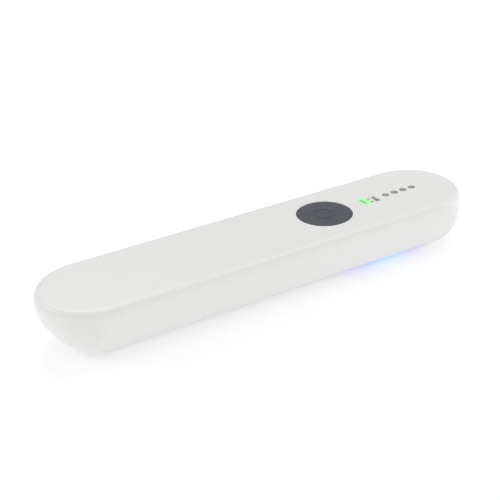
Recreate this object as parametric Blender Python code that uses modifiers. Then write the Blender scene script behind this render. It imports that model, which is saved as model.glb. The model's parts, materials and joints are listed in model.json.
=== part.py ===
"""Hand-held curing light: a slim white wand with a round thumb button and a light window underneath.

Run it with  blender --background --python part.py  or from Blender's text editor.

Frame: +X runs along the wand towards the light end, +Y across it, +Z up. The origin is on the surface
that the wand stands on, under the middle of its length. Sizes below are in millimetres, and the helpers
at the top turn them into metres.
"""

import math

import bmesh
import bpy
from mathutils import Matrix, Vector

MM = 0.001

# Driving dimensions of the housing
LENGTH = 200.0
WIDTH = 44.6
HEIGHT = 24.0
FOOT_STAND = 0.7  # how far the feet hold the floor of the housing off the surface
WALL = 2.0
TOP_FILLET = 3.0
SEAM_GAP = 0.2
SEAM_BAND = 0.4  # upright stretch of each shell at its rim
LIP_INSET = 2.55  # from the cover's outer face to its locating lip
LIP_THICKNESS = 1.0
LIP_DEPTH = 1.4  # how far the lip reaches down inside the tub
OVERLAP = 0.4  # how deep a rib or post is let into the wall that carries it
SIDE_RUN = 12.0  # how far each side runs in between the seam and the floor
END_RUN = 20.9  # the same for each end
END_BLUNTNESS = 0.62  # how much the half-round end squares off by the floor
FILLET_RINGS = 5
TUB_RINGS = 12

# Fits
GAP = 0.3  # between a piece and the one it rests on
SIDE_GAP = 0.2  # around the button, and between a screw and its hole
GUIDE_GAP = 0.1  # around the light guides in their holes
SOLDER_GAP = 0.1  # under parts soldered to a board
CLEAR = 1.0  # how far a cutter reaches past what it cuts

# Levels, from the surface up
COVER_RIM_Z = HEIGHT - TOP_FILLET - SEAM_BAND
TUB_RIM_Z = COVER_RIM_Z - SEAM_GAP
SHOULDER_Z = TUB_RIM_Z - SEAM_BAND
CEILING_Z = HEIGHT - WALL
FLOOR_Z = FOOT_STAND + WALL
LEDGE_Z = FOOT_STAND + 1.0  # ledge that the window's gasket lies on
FACE_Z = HEIGHT - 0.05  # top faces of the button and the light guides

# Light window and the module over it
WINDOW_X = 48.0
WINDOW_LENGTH = 50.0
WINDOW_WIDTH = 16.0
LENS_FLANGE = 2.0
LED_COUNT = 6
LED_PITCH = 8.0
LED_SIZE = 3.5
LED_HEIGHT = 1.0
GASKET_THICKNESS = 0.4
LENS_FLANGE_Z = LEDGE_Z + GAP + GASKET_THICKNESS + GAP
LENS_FLANGE_THICKNESS = 1.0
REFLECTOR_Z = LENS_FLANGE_Z + LENS_FLANGE_THICKNESS + GAP
REFLECTOR_TOP_Z = REFLECTOR_Z + 5.0
LED_BOARD_Z = REFLECTOR_TOP_Z + GAP
LED_BOARD_THICKNESS = 1.6
HEAT_SINK_Z = LED_BOARD_Z + LED_BOARD_THICKNESS + GAP
HEAT_SINK_BASE = 1.5
FIN_HEIGHT = 1.6
FIN_COUNT = 5
FIN_PITCH = 3.6
FIN_THICKNESS = 1.0
MODULE_POST_Y = 11.8
MODULE_POSTS = [(x, y) for x in (22.0, 74.0) for y in (-MODULE_POST_Y, MODULE_POST_Y)]
MODULE_SCREW_SHANK = 1.6
MODULE_SCREW_LENGTH = 6.0

# Control board, hung under the cover
BOARD_Z = HEIGHT - 6.9
BOARD_THICKNESS = 1.2
BOARD_TOP_Z = BOARD_Z + BOARD_THICKNESS
BOARD_TAIL_X = 14.0
BOARD_HEAD_X = 95.0
BOARD_HALF_WIDTH = 17.0
BOARD_END = 16.0
BOARD_SCREWS = ((18.5, 13.0), (18.5, -13.0), (86.0, 10.5), (86.0, -10.5))
BOARD_SCREW_SHANK = 1.8
STANDOFF_DIAMETER = 4.6

# Button
BUTTON_X = 31.2
BUTTON_DIAMETER = 24.0
BUTTON_TRAVEL = 0.4
BUTTON_FOOT_Z = CEILING_Z - 1.0
BUTTON_FLANGE = 1.1  # how far the stop flange stands out under the cover
BUTTON_WALL = 1.2
BUTTON_POST_RADIUS = 2.2
SWITCH_SIZE = 6.0
SWITCH_HEIGHT = 1.6
PLUNGER_DIAMETER = 3.0
PLUNGER_GAP = 0.15

# Indicators: a pictogram of three bars, then a row of four dots
BAR_XS = (51.7, 55.1, 58.0)
BAR_WIDTH = 1.5
BAR_SHOULDER = (2.5, 7.6)  # length and width of the plate that keeps a guide under the cover
DOT_FIRST_X = 64.2
DOT_PITCH = 4.84
DOT_COUNT = 4
DOT_DIAMETER = 3.2
GUIDE_Z = BOARD_TOP_Z + 1.4  # underside of the light guides
GUIDE_WIDTH = 3.8  # of the bar that joins the four dots
INDICATOR_SIZE = (2.0, 1.25, 0.8)

# Battery
BATTERY_SIZE = (64.0, 26.0, 9.5)
BATTERY_X = -38.0
BATTERY_Z = 8.0

# Socket for charging, in the light end
SOCKET_WIDTH = 8.94
SOCKET_HEIGHT = 3.26
SOCKET_WALL = 0.35
SOCKET_MOUTH_X = 97.9
SOCKET_DEPTH = 7.2
TONGUE_SIZE = (6.7, 0.7)
SOCKET_Z = BOARD_Z - SOLDER_GAP - SOCKET_HEIGHT / 2

# Case screws and the feet that cover them
FOOT_X = 79.5
FOOT_SIZE = (5.0, 17.0)
FOOT_CORNER = 1.0
FOOT_TOP_Z = 1.6
CASE_SCREW_Y = 5.0
CASE_SCREW_HEAD = 4.2
CASE_SCREW_SHANK = 2.2
CASE_BOSS_DIAMETER = 5.6
SCREW_PAD_DIAMETER = 8.0
SCREW_FLOOR_Z = FOOT_TOP_Z + GAP + 1.5
SCREW_PAD_TOP_Z = SCREW_FLOOR_Z + 1.2
SCREW_TIP_Z = 10.5
CASE_SCREWS = [(x, y) for x in (-FOOT_X, FOOT_X) for y in (-CASE_SCREW_Y, CASE_SCREW_Y)]

# Plain finishes: colour, roughness, metallic
FINISHES = {
    "white_plastic": ((0.82, 0.82, 0.81), 0.38, 0.0),
    "grey_plastic": ((0.13, 0.135, 0.145), 0.45, 0.0),
    "lens_plastic": ((0.55, 0.62, 0.85), 0.15, 0.0),
    "reflector_plastic": ((0.85, 0.86, 0.88), 0.2, 0.6),
    "light_guide_green": ((0.35, 0.8, 0.35), 0.3, 0.0),
    "light_guide_grey": ((0.16, 0.15, 0.15), 0.4, 0.0),
    "board_green": ((0.03, 0.2, 0.09), 0.4, 0.0),
    "board_white": ((0.7, 0.7, 0.68), 0.45, 0.0),
    "chip_black": ((0.02, 0.02, 0.02), 0.5, 0.0),
    "led_white": ((0.8, 0.78, 0.6), 0.4, 0.0),
    "aluminium": ((0.72, 0.73, 0.75), 0.35, 1.0),
    "steel": ((0.6, 0.6, 0.6), 0.3, 1.0),
    "battery_foil": ((0.62, 0.63, 0.65), 0.35, 0.7),
    "silicone": ((0.3, 0.3, 0.3), 0.7, 0.0),
    "foam": ((0.06, 0.06, 0.06), 0.95, 0.0),
    "rubber": ((0.1, 0.1, 0.1), 0.8, 0.0),
    "wire_red": ((0.5, 0.03, 0.02), 0.45, 0.0),
    "wire_black": ((0.02, 0.02, 0.02), 0.45, 0.0),
}


# ---------------------------------------------------------------- helpers

def clear_scene():
    for obj in list(bpy.data.objects):
        bpy.data.objects.remove(obj, do_unlink=True)


def make_collection(name):
    collection = bpy.data.collections.new(name)
    bpy.context.scene.collection.children.link(collection)
    return collection


def make_material(name, finish):
    colour, roughness, metallic = FINISHES[finish]
    material = bpy.data.materials.new(name)
    material.use_nodes = True
    shader = material.node_tree.nodes["Principled BSDF"]
    shader.inputs["Base Color"].default_value = (*colour, 1.0)
    shader.inputs["Roughness"].default_value = roughness
    shader.inputs["Metallic"].default_value = metallic
    return material


def add_part(name, data, finish, at=(0.0, 0.0, 0.0)):
    """Puts a mesh or curve in the object's collection, with a material of its own."""
    obj = bpy.data.objects.new(name, data)
    obj.location = Vector(at) * MM
    data.materials.append(make_material(name, finish))
    PARTS.objects.link(obj)
    return obj


def mesh_from(bm, name):
    mesh = bpy.data.meshes.new(name)
    bmesh.ops.recalc_face_normals(bm, faces=bm.faces)
    bm.to_mesh(mesh)
    bm.free()
    return mesh


def box_mesh(name, *boxes):
    """One mesh of a box between each pair of corners."""
    bm = bmesh.new()
    for low, high in boxes:
        low = Vector(low) * MM
        high = Vector(high) * MM
        place = Matrix.Translation((low + high) / 2) @ Matrix.Diagonal((*(high - low), 1.0))
        bmesh.ops.create_cube(bm, size=1.0, matrix=place)
    return mesh_from(bm, name)


def post_guide(name, centres, diameter, z_low, z_high, segments=24):
    """A guide made of upright cylinders, one at each centre."""
    bm = bmesh.new()
    for x, y in centres:
        middle = Vector((x, y, (z_low + z_high) / 2)) * MM
        bmesh.ops.create_cone(
            bm,
            cap_ends=True,
            segments=segments,
            radius1=diameter * MM / 2,
            radius2=diameter * MM / 2,
            depth=(z_high - z_low) * MM,
            matrix=Matrix.Translation(middle),
        )
    return guide(name, mesh_from(bm, name))


def add_box(name, low, high, finish, bevel=0.0):
    """A box part whose origin is its own middle."""
    middle = (Vector(low) + Vector(high)) / 2
    obj = add_part(name, box_mesh(name, (Vector(low) - middle, Vector(high) - middle)), finish, middle)
    if bevel:
        edges = obj.modifiers.new("rounded edges", "BEVEL")
        edges.width = bevel * MM
        edges.segments = 1 if bevel < 1.0 else 3
    return obj


def smooth(obj, angle=35.0):
    obj.data.shade_smooth()
    obj.data.set_sharp_from_angle(angle=math.radians(angle))
    return obj


def add_turned(name, profile, at, finish, steps=32):
    """A turned piece from (radius, height) points, listed down the outer side from top to bottom."""
    bm = bmesh.new()
    points = [bm.verts.new((radius * MM, 0.0, height * MM)) for radius, height in profile]
    for first, second in zip(points, points[1:]):
        bm.edges.new((first, second))
    mesh = bpy.data.meshes.new(name)
    bm.to_mesh(mesh)
    bm.free()
    obj = add_part(name, mesh, finish, at)
    turn = obj.modifiers.new("turned", "SCREW")
    turn.steps = steps
    turn.render_steps = steps
    turn.use_merge_vertices = True
    turn.merge_threshold = 0.00001
    turn.use_smooth_shade = True
    return obj


def outline_curve(name, outlines, z_low, z_high):
    """A flat plate: the first outline is its edge, the others are holes in it."""
    curve = bpy.data.curves.new(name, "CURVE")
    curve.dimensions = "2D"
    curve.fill_mode = "BOTH"
    curve.extrude = (z_high - z_low) * MM / 2
    for points in outlines:
        spline = curve.splines.new("POLY")
        spline.points.add(len(points) - 1)
        spline.use_cyclic_u = True
        for point, (x, y) in zip(spline.points, points):
            point.co = (x * MM, y * MM, 0.0, 1.0)
    return curve


def add_plate(name, outlines, z_low, z_high, finish):
    """A plate between two levels, made a welded mesh so that Booleans can use it."""
    curve = outline_curve(name, outlines, z_low, z_high)
    drawing = bpy.data.objects.new(name + "_outline", curve)
    drawing.location.z = (z_low + z_high) * MM / 2
    PARTS.objects.link(drawing)
    graph = bpy.context.evaluated_depsgraph_get()
    mesh = bpy.data.meshes.new_from_object(drawing.evaluated_get(graph))
    bm = bmesh.new()
    bm.from_mesh(mesh)
    bmesh.ops.remove_doubles(bm, verts=bm.verts, dist=0.000001)
    bmesh.ops.recalc_face_normals(bm, faces=bm.faces)
    bm.to_mesh(mesh)
    bm.free()
    mesh.name = name
    place = drawing.matrix_world.copy()
    bpy.data.objects.remove(drawing)
    obj = add_part(name, mesh, finish)
    obj.matrix_world = place
    return obj


def add_wire(name, points, diameter, finish):
    """An insulated wire: a tube along a smooth curve through its route's points."""
    curve = bpy.data.curves.new(name, "CURVE")
    curve.dimensions = "3D"
    curve.bevel_depth = diameter * MM / 2
    curve.bevel_resolution = 2
    curve.use_fill_caps = True
    route = smooth_route(points, steps=3)
    spline = curve.splines.new("POLY")
    spline.points.add(len(route) - 1)
    for point, position in zip(spline.points, route):
        point.co = (*(position * MM), 1.0)
    return add_part(name, curve, finish)


def smooth_route(points, steps):
    """Catmull-Rom points through the given ones."""
    knots = [Vector(point) for point in points]
    knots = [2 * knots[0] - knots[1], *knots, 2 * knots[-1] - knots[-2]]
    route = []
    for index in range(1, len(knots) - 2):
        before, start, end, after = knots[index - 1:index + 3]
        for step in range(steps):
            t = step / steps
            route.append(
                0.5 * (2 * start + (end - before) * t
                       + (2 * before - 5 * start + 4 * end - after) * t ** 2
                       + (3 * start - before - 3 * end + after) * t ** 3)
            )
    route.append(knots[-2])
    return route


def boolean(obj, tool, operation):
    """Cuts or joins with another object, which becomes a hidden guide in the cutters' collection."""
    for collection in list(tool.users_collection):
        collection.objects.unlink(tool)
    CUTTERS.objects.link(tool)
    tool.hide_render = True
    tool.display_type = "WIRE"
    modifier = obj.modifiers.new(tool.name, "BOOLEAN")
    modifier.operation = operation
    modifier.object = tool
    modifier.solver = "EXACT"


def guide(name, mesh):
    """A hidden object that only shapes others."""
    obj = bpy.data.objects.new(name, mesh)
    CUTTERS.objects.link(obj)
    return obj


def cut(obj, tool):
    boolean(obj, tool, "DIFFERENCE")


def join(obj, tool):
    boolean(obj, tool, "UNION")


# ---------------------------------------------------------------- outlines

def circle(centre, diameter, segments=32):
    angles = [math.tau * step / segments for step in range(segments)]
    return [
        (centre[0] + diameter / 2 * math.cos(angle), centre[1] + diameter / 2 * math.sin(angle))
        for angle in angles
    ]


def slot(centre, length, width, segments=12):
    """A rectangle with half-round ends, its long side along X."""
    half = (length - width) / 2
    points = []
    for sign in (1, -1):
        for step in range(segments + 1):
            angle = -math.pi / 2 + math.pi * step / segments
            points.append(
                (centre[0] + sign * (half + width / 2 * math.cos(angle)),
                 centre[1] + sign * width / 2 * math.sin(angle))
            )
    return points


def rectangle(centre, length, width, corner=0.0, segments=4):
    """A rectangle, with rounded corners if corner is given."""
    if not corner:
        signs = ((1, 1), (-1, 1), (-1, -1), (1, -1))
        return [(centre[0] + sx * length / 2, centre[1] + sy * width / 2) for sx, sy in signs]
    points = []
    for quarter, (sx, sy) in enumerate(((1, 1), (-1, 1), (-1, -1), (1, -1))):
        for step in range(segments + 1):
            angle = math.pi / 2 * (quarter + step / segments)
            points.append(
                (centre[0] + sx * (length / 2 - corner) + corner * math.cos(angle),
                 centre[1] + sy * (width / 2 - corner) + corner * math.sin(angle))
            )
    return points


def wand_outline(half_length, half_width, end, segments=20):
    """The wand's outline at one level: straight sides, and half-ellipse ends with the given semi-axis."""
    points = []
    for sign in (1, -1):
        for step in range(segments + 1):
            angle = -math.pi / 2 + math.pi * step / segments
            points.append(
                (sign * (half_length - end + end * math.cos(angle)), sign * half_width * math.sin(angle))
            )
    return points


# ---------------------------------------------------------------- housing

def cover_ring(angle):
    """One level of the top fillet: the angle is 0 at its foot and a quarter turn at the flat top."""
    inset = TOP_FILLET * (1 - math.cos(angle))
    half_width = WIDTH / 2 - inset
    z = HEIGHT - TOP_FILLET * (1 - math.sin(angle))
    return wand_outline(LENGTH / 2 - inset, half_width, half_width), z


def tub_ring(angle):
    """One level of the tub's hull: the angle is 0 at the shoulder and a quarter turn at the floor."""
    drop = SHOULDER_Z - FOOT_STAND
    z = SHOULDER_Z - drop * math.sin(angle)
    half_width = WIDTH / 2 - SIDE_RUN * (1 - math.cos(angle))
    half_length = LENGTH / 2 - END_RUN * (1 - math.cos(angle))
    end = half_width * (1 - END_BLUNTNESS * math.sin(angle))
    return wand_outline(half_length, half_width, end), z


def loft_shell(name, rings, thickness, finish):
    """An open skin through (outline, level) rings, closed by its last one, and thickened inwards."""
    bm = bmesh.new()
    rows = [
        [bm.verts.new(Vector((x, y, z)) * MM) for x, y in outline]
        for outline, z in rings
    ]
    for lower, upper in zip(rows, rows[1:]):
        for index in range(len(lower)):
            following = (index + 1) % len(lower)
            bm.faces.new((lower[index], lower[following], upper[following], upper[index]))
    bm.faces.new(rows[-1])
    closed_above = rings[-1][1] > rings[0][1]
    mesh = mesh_from(bm, name)
    if (mesh.polygons[-1].normal.z > 0) != closed_above:
        mesh.flip_normals()
    shell = add_part(name, mesh, finish)
    wall = shell.modifiers.new("wall", "SOLIDIFY")
    wall.thickness = thickness * MM
    wall.offset = -1.0
    wall.use_even_offset = True
    return shell


def quarter_angles(count):
    return [math.pi / 2 * step / count for step in range(count + 1)]


def inset_outline(inset):
    half_width = WIDTH / 2 - inset
    return wand_outline(LENGTH / 2 - inset, half_width, half_width)


def make_top_cover():
    fillet = [cover_ring(angle) for angle in quarter_angles(FILLET_RINGS)]
    rings = [(inset_outline(0.0), COVER_RIM_Z), *fillet]
    cover = loft_shell("top_cover", rings, WALL, "white_plastic")
    lip = add_plate(
        "cover_lip", [inset_outline(LIP_INSET), inset_outline(LIP_INSET + LIP_THICKNESS)],
        COVER_RIM_Z - LIP_DEPTH, CEILING_Z + OVERLAP, "white_plastic",
    )
    join(cover, lip)
    ends = CEILING_Z + OVERLAP + 0.1
    boss_foot = SCREW_PAD_TOP_Z + GAP
    join(cover, post_guide("case_screw_bosses", CASE_SCREWS, CASE_BOSS_DIAMETER, boss_foot, ends))
    join(cover, post_guide("board_standoffs", BOARD_SCREWS, STANDOFF_DIAMETER, BOARD_TOP_Z + GAP, ends, 20))
    pilot = CASE_SCREW_SHANK + 2 * SIDE_GAP
    cut(cover, post_guide("case_screw_pilots", CASE_SCREWS, pilot, 0.0, SCREW_TIP_Z + 1.5, 16))
    pilot = BOARD_SCREW_SHANK + 2 * SIDE_GAP
    cut(cover, post_guide("board_screw_pilots", BOARD_SCREWS, pilot, BOARD_Z, CEILING_Z - OVERLAP, 16))
    over = HEIGHT + CLEAR
    under = CEILING_Z - CLEAR
    hole = BUTTON_DIAMETER + 2 * SIDE_GAP
    cut(cover, post_guide("button_hole", [(BUTTON_X, 0.0)], hole, under, over, 64))
    hole = DOT_DIAMETER + 2 * GUIDE_GAP
    cut(cover, post_guide("dot_holes", [(x, 0.0) for x in dot_xs()], hole, under, over))
    slots = [outline for outlines in bar_outlines(GUIDE_GAP).values() for outline in outlines]
    cut(cover, add_plate("bar_slots", slots, under, over, "white_plastic"))
    return smooth(cover)


def make_lower_tub():
    hull = [tub_ring(angle) for angle in quarter_angles(TUB_RINGS)]
    rings = [(inset_outline(0.0), TUB_RIM_Z), *hull]
    tub = loft_shell("lower_tub", rings, WALL, "white_plastic")
    pad_foot = SCREW_FLOOR_Z - 1.2
    join(tub, post_guide("screw_pads", CASE_SCREWS, SCREW_PAD_DIAMETER, pad_foot, SCREW_PAD_TOP_Z))
    post_foot = FLOOR_Z - OVERLAP
    join(tub, post_guide("module_posts", MODULE_POSTS, 4.0, post_foot, HEAT_SINK_Z - GAP, 20))
    pilot = MODULE_SCREW_SHANK + 2 * SIDE_GAP
    pilot_foot = HEAT_SINK_Z - MODULE_SCREW_LENGTH - 0.5
    cut(tub, post_guide("module_pilots", MODULE_POSTS, pilot, pilot_foot, HEAT_SINK_Z + CLEAR, 16))
    flange = 2 * LENS_FLANGE + 2 * GAP
    rebate = slot((WINDOW_X, 0), WINDOW_LENGTH + flange, WINDOW_WIDTH + flange)
    cut(tub, add_plate("window_rebate", [rebate], LEDGE_Z, FLOOR_Z + 2.0, "white_plastic"))
    opening = slot((WINDOW_X, 0), WINDOW_LENGTH, WINDOW_WIDTH)
    cut(tub, add_plate("window_opening", [opening], -CLEAR, FLOOR_Z, "white_plastic"))
    for x in (-FOOT_X, FOOT_X):
        recess = rectangle((x, 0), FOOT_SIZE[0] + 2 * GAP, FOOT_SIZE[1] + 2 * GAP, FOOT_CORNER + GAP)
        cut(tub, add_plate("foot_recess", [recess], -CLEAR, FOOT_TOP_Z + GAP, "white_plastic"))
    cut(tub, post_guide("screw_head_holes", CASE_SCREWS, CASE_SCREW_HEAD + 2 * GAP, 0.0, SCREW_FLOOR_Z))
    cut(tub, post_guide("screw_holes", CASE_SCREWS, CASE_SCREW_SHANK + 2 * GAP, 1.0, SCREW_FLOOR_Z + 3, 16))
    mouth = slot((0, 0), SOCKET_WIDTH + 2 * GAP, SOCKET_HEIGHT + 2 * GAP)
    reach = SOCKET_DEPTH - 1.2
    port = add_plate("socket_mouth", [mouth], SOCKET_MOUTH_X - reach, SOCKET_MOUTH_X + reach, "white_plastic")
    port.matrix_world = face_along_x(SOCKET_Z) @ port.matrix_world
    cut(tub, port)
    return smooth(tub)


def face_along_x(z):
    """Turns a plate that was drawn flat so that its thickness runs along X, its long side along Y."""
    turn = Matrix(((0, 0, 1, 0), (1, 0, 0, 0), (0, 1, 0, 0), (0, 0, 0, 1)))
    return Matrix.Translation((0.0, 0.0, z * MM)) @ turn


def make_feet():
    for name, x in (("foot_strip_tail", -FOOT_X), ("foot_strip_head", FOOT_X)):
        smooth(add_plate(name, [rectangle((x, 0), *FOOT_SIZE, FOOT_CORNER)], 0.0, FOOT_TOP_Z, "rubber"))


def screw_profile(head, head_height, shank, length):
    """Pan-head screw, its tip up at +length and its head's face down at -head_height: (radius, height)."""
    chamfer = shank / 4
    return [
        (0.0, length),
        (shank / 2 - chamfer, length),
        (shank / 2, length - 1.5 * chamfer),
        (shank / 2, 0.0),
        (head / 2, 0.0),
        (head / 2, -head_height * 0.6),
        (head / 2 - head_height * 0.4, -head_height),
        (0.0, -head_height),
    ]


def make_case_screws():
    profile = screw_profile(CASE_SCREW_HEAD, 1.2, CASE_SCREW_SHANK, SCREW_TIP_Z - SCREW_FLOOR_Z)
    for number, (x, y) in enumerate(CASE_SCREWS, start=1):
        add_turned(f"case_screw_{number}", profile, (x, y, SCREW_FLOOR_Z - SOLDER_GAP), "steel", 12)


# ---------------------------------------------------------------- light window and module

def led_xs():
    start = WINDOW_X - LED_PITCH * (LED_COUNT - 1) / 2
    return [start + LED_PITCH * index for index in range(LED_COUNT)]


def make_window():
    flange = (WINDOW_LENGTH + 2 * LENS_FLANGE, WINDOW_WIDTH + 2 * LENS_FLANGE)
    centre = (WINDOW_X, 0)
    smooth(add_plate(
        "window_gasket",
        [slot(centre, *flange), slot(centre, WINDOW_LENGTH + SIDE_GAP, WINDOW_WIDTH + SIDE_GAP)],
        LEDGE_Z + GAP, LEDGE_Z + GAP + GASKET_THICKNESS, "silicone",
    ))
    lens_top = LENS_FLANGE_Z + LENS_FLANGE_THICKNESS
    lens = add_plate("window_lens", [slot(centre, *flange)], LENS_FLANGE_Z, lens_top, "lens_plastic")
    face = add_plate(
        "lens_face", [slot(centre, WINDOW_LENGTH - 2 * GAP, WINDOW_WIDTH - 2 * GAP)],
        FOOT_STAND + SIDE_GAP, lens_top - OVERLAP, "lens_plastic",
    )
    join(lens, face)
    smooth(lens)


def make_reflector():
    """A tapered trough, wide at the window, with a square opening over each LED."""
    wall = 0.8
    wide = slot((WINDOW_X, 0), WINDOW_LENGTH + 3.0, WINDOW_WIDTH + 3.0)
    narrow = slot((WINDOW_X, 0), WINDOW_LENGTH - 1.0, 9.0)
    rings = [(wide, REFLECTOR_Z), (wide, REFLECTOR_Z + wall), (narrow, REFLECTOR_TOP_Z)]
    reflector = loft_shell("reflector", rings, wall, "reflector_plastic")
    half = LED_SIZE / 2 + GAP
    low = REFLECTOR_TOP_Z - 2 * CLEAR
    high = REFLECTOR_TOP_Z + CLEAR
    openings = [((x - half, -half, low), (x + half, half, high)) for x in led_xs()]
    cut(reflector, guide("led_openings", box_mesh("led_openings", *openings)))
    smooth(reflector)


def make_led_module():
    half = LED_SIZE / 2
    top = LED_BOARD_Z - SOLDER_GAP
    for number, x in enumerate(led_xs(), start=1):
        low = (x - half, -half, top - LED_HEIGHT)
        add_box(f"led_emitter_{number}", low, (x + half, half, top), "led_white")
    add_plate(
        "led_board", [rectangle((WINDOW_X, 0), WINDOW_LENGTH + 6.0, 18.0, 1.5)],
        LED_BOARD_Z, LED_BOARD_Z + LED_BOARD_THICKNESS, "board_white",
    )
    base = rectangle((WINDOW_X, 0), WINDOW_LENGTH + 7.0, 2 * MODULE_POST_Y + 4.2, 1.5)
    holes = [circle(at, 2.6, 16) for at in MODULE_POSTS]
    base_top = HEAT_SINK_Z + HEAT_SINK_BASE
    sink = add_plate("heat_sink", [base, *holes], HEAT_SINK_Z, base_top, "aluminium")
    fins = []
    for index in range(FIN_COUNT):
        y = FIN_PITCH * (index - (FIN_COUNT - 1) / 2)
        low = (WINDOW_X - WINDOW_LENGTH / 2, y - FIN_THICKNESS / 2, base_top - 1.0)
        high = (WINDOW_X + WINDOW_LENGTH / 2, y + FIN_THICKNESS / 2, base_top + FIN_HEIGHT)
        fins.append((low, high))
    join(sink, guide("fins", box_mesh("fins", *fins)))
    screw = screw_profile(3.6, 1.0, MODULE_SCREW_SHANK, MODULE_SCREW_LENGTH)
    profile = [(radius, -height) for radius, height in reversed(screw)]
    for number, (x, y) in enumerate(MODULE_POSTS, start=1):
        add_turned(f"led_module_screw_{number}", profile, (x, y, base_top + SOLDER_GAP), "steel", 12)


# ---------------------------------------------------------------- control board

def board_outline(segments=24):
    """Square at the tail, half an ellipse at the light end."""
    points = [(BOARD_TAIL_X, BOARD_HALF_WIDTH), (BOARD_TAIL_X, -BOARD_HALF_WIDTH)]
    for step in range(segments + 1):
        angle = -math.pi / 2 + math.pi * step / segments
        points.append(
            (BOARD_HEAD_X - BOARD_END + BOARD_END * math.cos(angle), BOARD_HALF_WIDTH * math.sin(angle))
        )
    return points


def make_control_board():
    holes = [circle(at, 2.4, 16) for at in BOARD_SCREWS]
    holes += [circle((x, y), 6.6, 24) for x, y in CASE_SCREWS if x > 0]
    add_plate("control_board", [board_outline(), *holes], BOARD_Z, BOARD_TOP_Z, "board_green")
    profile = screw_profile(3.4, 1.0, BOARD_SCREW_SHANK, 3.6)
    for number, (x, y) in enumerate(BOARD_SCREWS, start=1):
        add_turned(f"board_screw_{number}", profile, (x, y, BOARD_Z - SOLDER_GAP), "steel", 12)
    base = BOARD_TOP_Z + SOLDER_GAP
    add_box("mcu_chip", (57.0, -14.5, base), (64.0, -7.5, base + 1.0), "chip_black", 0.15)
    add_box("charge_chip", (69.0, -13.0, base), (73.0, -9.0, base + 0.9), "chip_black", 0.15)
    add_box("boost_inductor", (54.0, 8.0, base), (60.0, 14.0, base + 2.5), "chip_black", 0.4)
    below = BOARD_Z - SOLDER_GAP
    add_box("battery_connector", (15.0, -5.0, below - 3.5), (19.0, 5.0, below), "board_white", 0.2)


def make_switch():
    """A switch with a well for its plunger, whose top lies just under the button's post."""
    half = SWITCH_SIZE / 2
    base = BOARD_TOP_Z + SOLDER_GAP
    top = base + SWITCH_HEIGHT
    body = add_box("tact_switch", (BUTTON_X - half, -half, base), (BUTTON_X + half, half, top), "chip_black")
    well_floor = (base + top) / 2 + 0.2
    hole = PLUNGER_DIAMETER + 2 * GAP
    cut(body, post_guide("plunger_well", [(BUTTON_X, 0.0)], hole, well_floor, top + CLEAR))
    head = BUTTON_FOOT_Z - PLUNGER_GAP
    foot = well_floor + GAP + BUTTON_TRAVEL - head
    radius = PLUNGER_DIAMETER / 2
    profile = [(0.0, 0.0), (radius - 0.2, 0.0), (radius, -0.2), (radius, foot), (0.0, foot)]
    add_turned("switch_plunger", profile, (BUTTON_X, 0.0, head), "steel", 24)


def make_button():
    """A cup-shaped cap with a flange that stops it under the cover, and a post that meets the switch."""
    radius = BUTTON_DIAMETER / 2
    flange = radius + BUTTON_FLANGE
    flange_top = CEILING_Z - GAP - BUTTON_FOOT_Z
    top = FACE_Z - BUTTON_FOOT_Z
    hollow = top - BUTTON_WALL
    edge = 0.3
    profile = [
        (0.0, top),
        (radius - edge, top),
        (radius, top - edge),
        (radius, flange_top),
        (flange, flange_top),
        (flange, 0.0),
        (radius - BUTTON_WALL, 0.0),
        (radius - BUTTON_WALL, hollow),
        (BUTTON_POST_RADIUS, hollow),
        (BUTTON_POST_RADIUS, 0.0),
        (0.0, 0.0),
    ]
    add_turned("button_cap", profile, (BUTTON_X, 0.0, BUTTON_FOOT_Z), "grey_plastic", 48)
    outer = circle((BUTTON_X, 0), 2 * (flange - SIDE_GAP))
    inner = circle((BUTTON_X, 0), 2 * (radius - 0.8))
    pad_top = BUTTON_FOOT_Z - GAP
    smooth(add_plate("button_return_pad", [outer, inner], BOARD_TOP_Z + GAP, pad_top, "silicone"))


# ---------------------------------------------------------------- indicators

def dot_xs():
    return [DOT_FIRST_X + DOT_PITCH * index for index in range(DOT_COUNT)]


def bar_outlines(spare=0.0):
    """Faces of the pictogram's guides: a long bar, two short marks, and a bar with a broad foot."""
    lit, middle, dark = BAR_XS
    half = BAR_WIDTH / 2 + spare
    foot = half + 0.3
    foot_end = -3.1 - spare
    foot_top = -0.6 + spare
    bar_end = 1.9 + spare
    return {
        "lit": [rectangle((lit, -0.1), 2 * half, 4.6 + 2 * spare)],
        "middle": [rectangle((middle, y), 2 * half, 1.5 + 2 * spare) for y in (0.6, -2.1)],
        "dark": [[
            (dark - foot, foot_end), (dark + foot, foot_end), (dark + foot, foot_top), (dark + half, foot_top),
            (dark + half, bar_end), (dark - half, bar_end), (dark - half, foot_top), (dark - foot, foot_top),
        ]],
    }


def make_light_guides():
    xs = dot_xs()
    top = CEILING_Z - GAP
    outline = slot(((xs[0] + xs[-1]) / 2, 0), xs[-1] - xs[0] + GUIDE_WIDTH, GUIDE_WIDTH)
    dots = add_plate("dot_light_guide", [outline], GUIDE_Z, top, "light_guide_grey")
    join(dots, post_guide("dot_posts", [(x, 0) for x in xs], DOT_DIAMETER, GUIDE_Z + OVERLAP, FACE_Z))
    smooth(dots)
    finishes = {"lit": "light_guide_green", "middle": "light_guide_grey", "dark": "light_guide_grey"}
    length, width = BAR_SHOULDER
    for x, (name, outlines) in zip(BAR_XS, bar_outlines().items()):
        low = (x - length / 2, -width / 2, GUIDE_Z)
        shoulder = add_box(f"bar_light_guide_{name}", low, (x + length / 2, width / 2, top), finishes[name])
        join(shoulder, add_plate(f"{name}_face", outlines, GUIDE_Z + OVERLAP, FACE_Z, finishes[name]))


def add_indicator(name, x):
    length, width, height = INDICATOR_SIZE
    base = BOARD_TOP_Z + SOLDER_GAP
    add_box(name, (x - width / 2, -length / 2, base), (x + width / 2, length / 2, base + height), "led_white")


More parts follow.
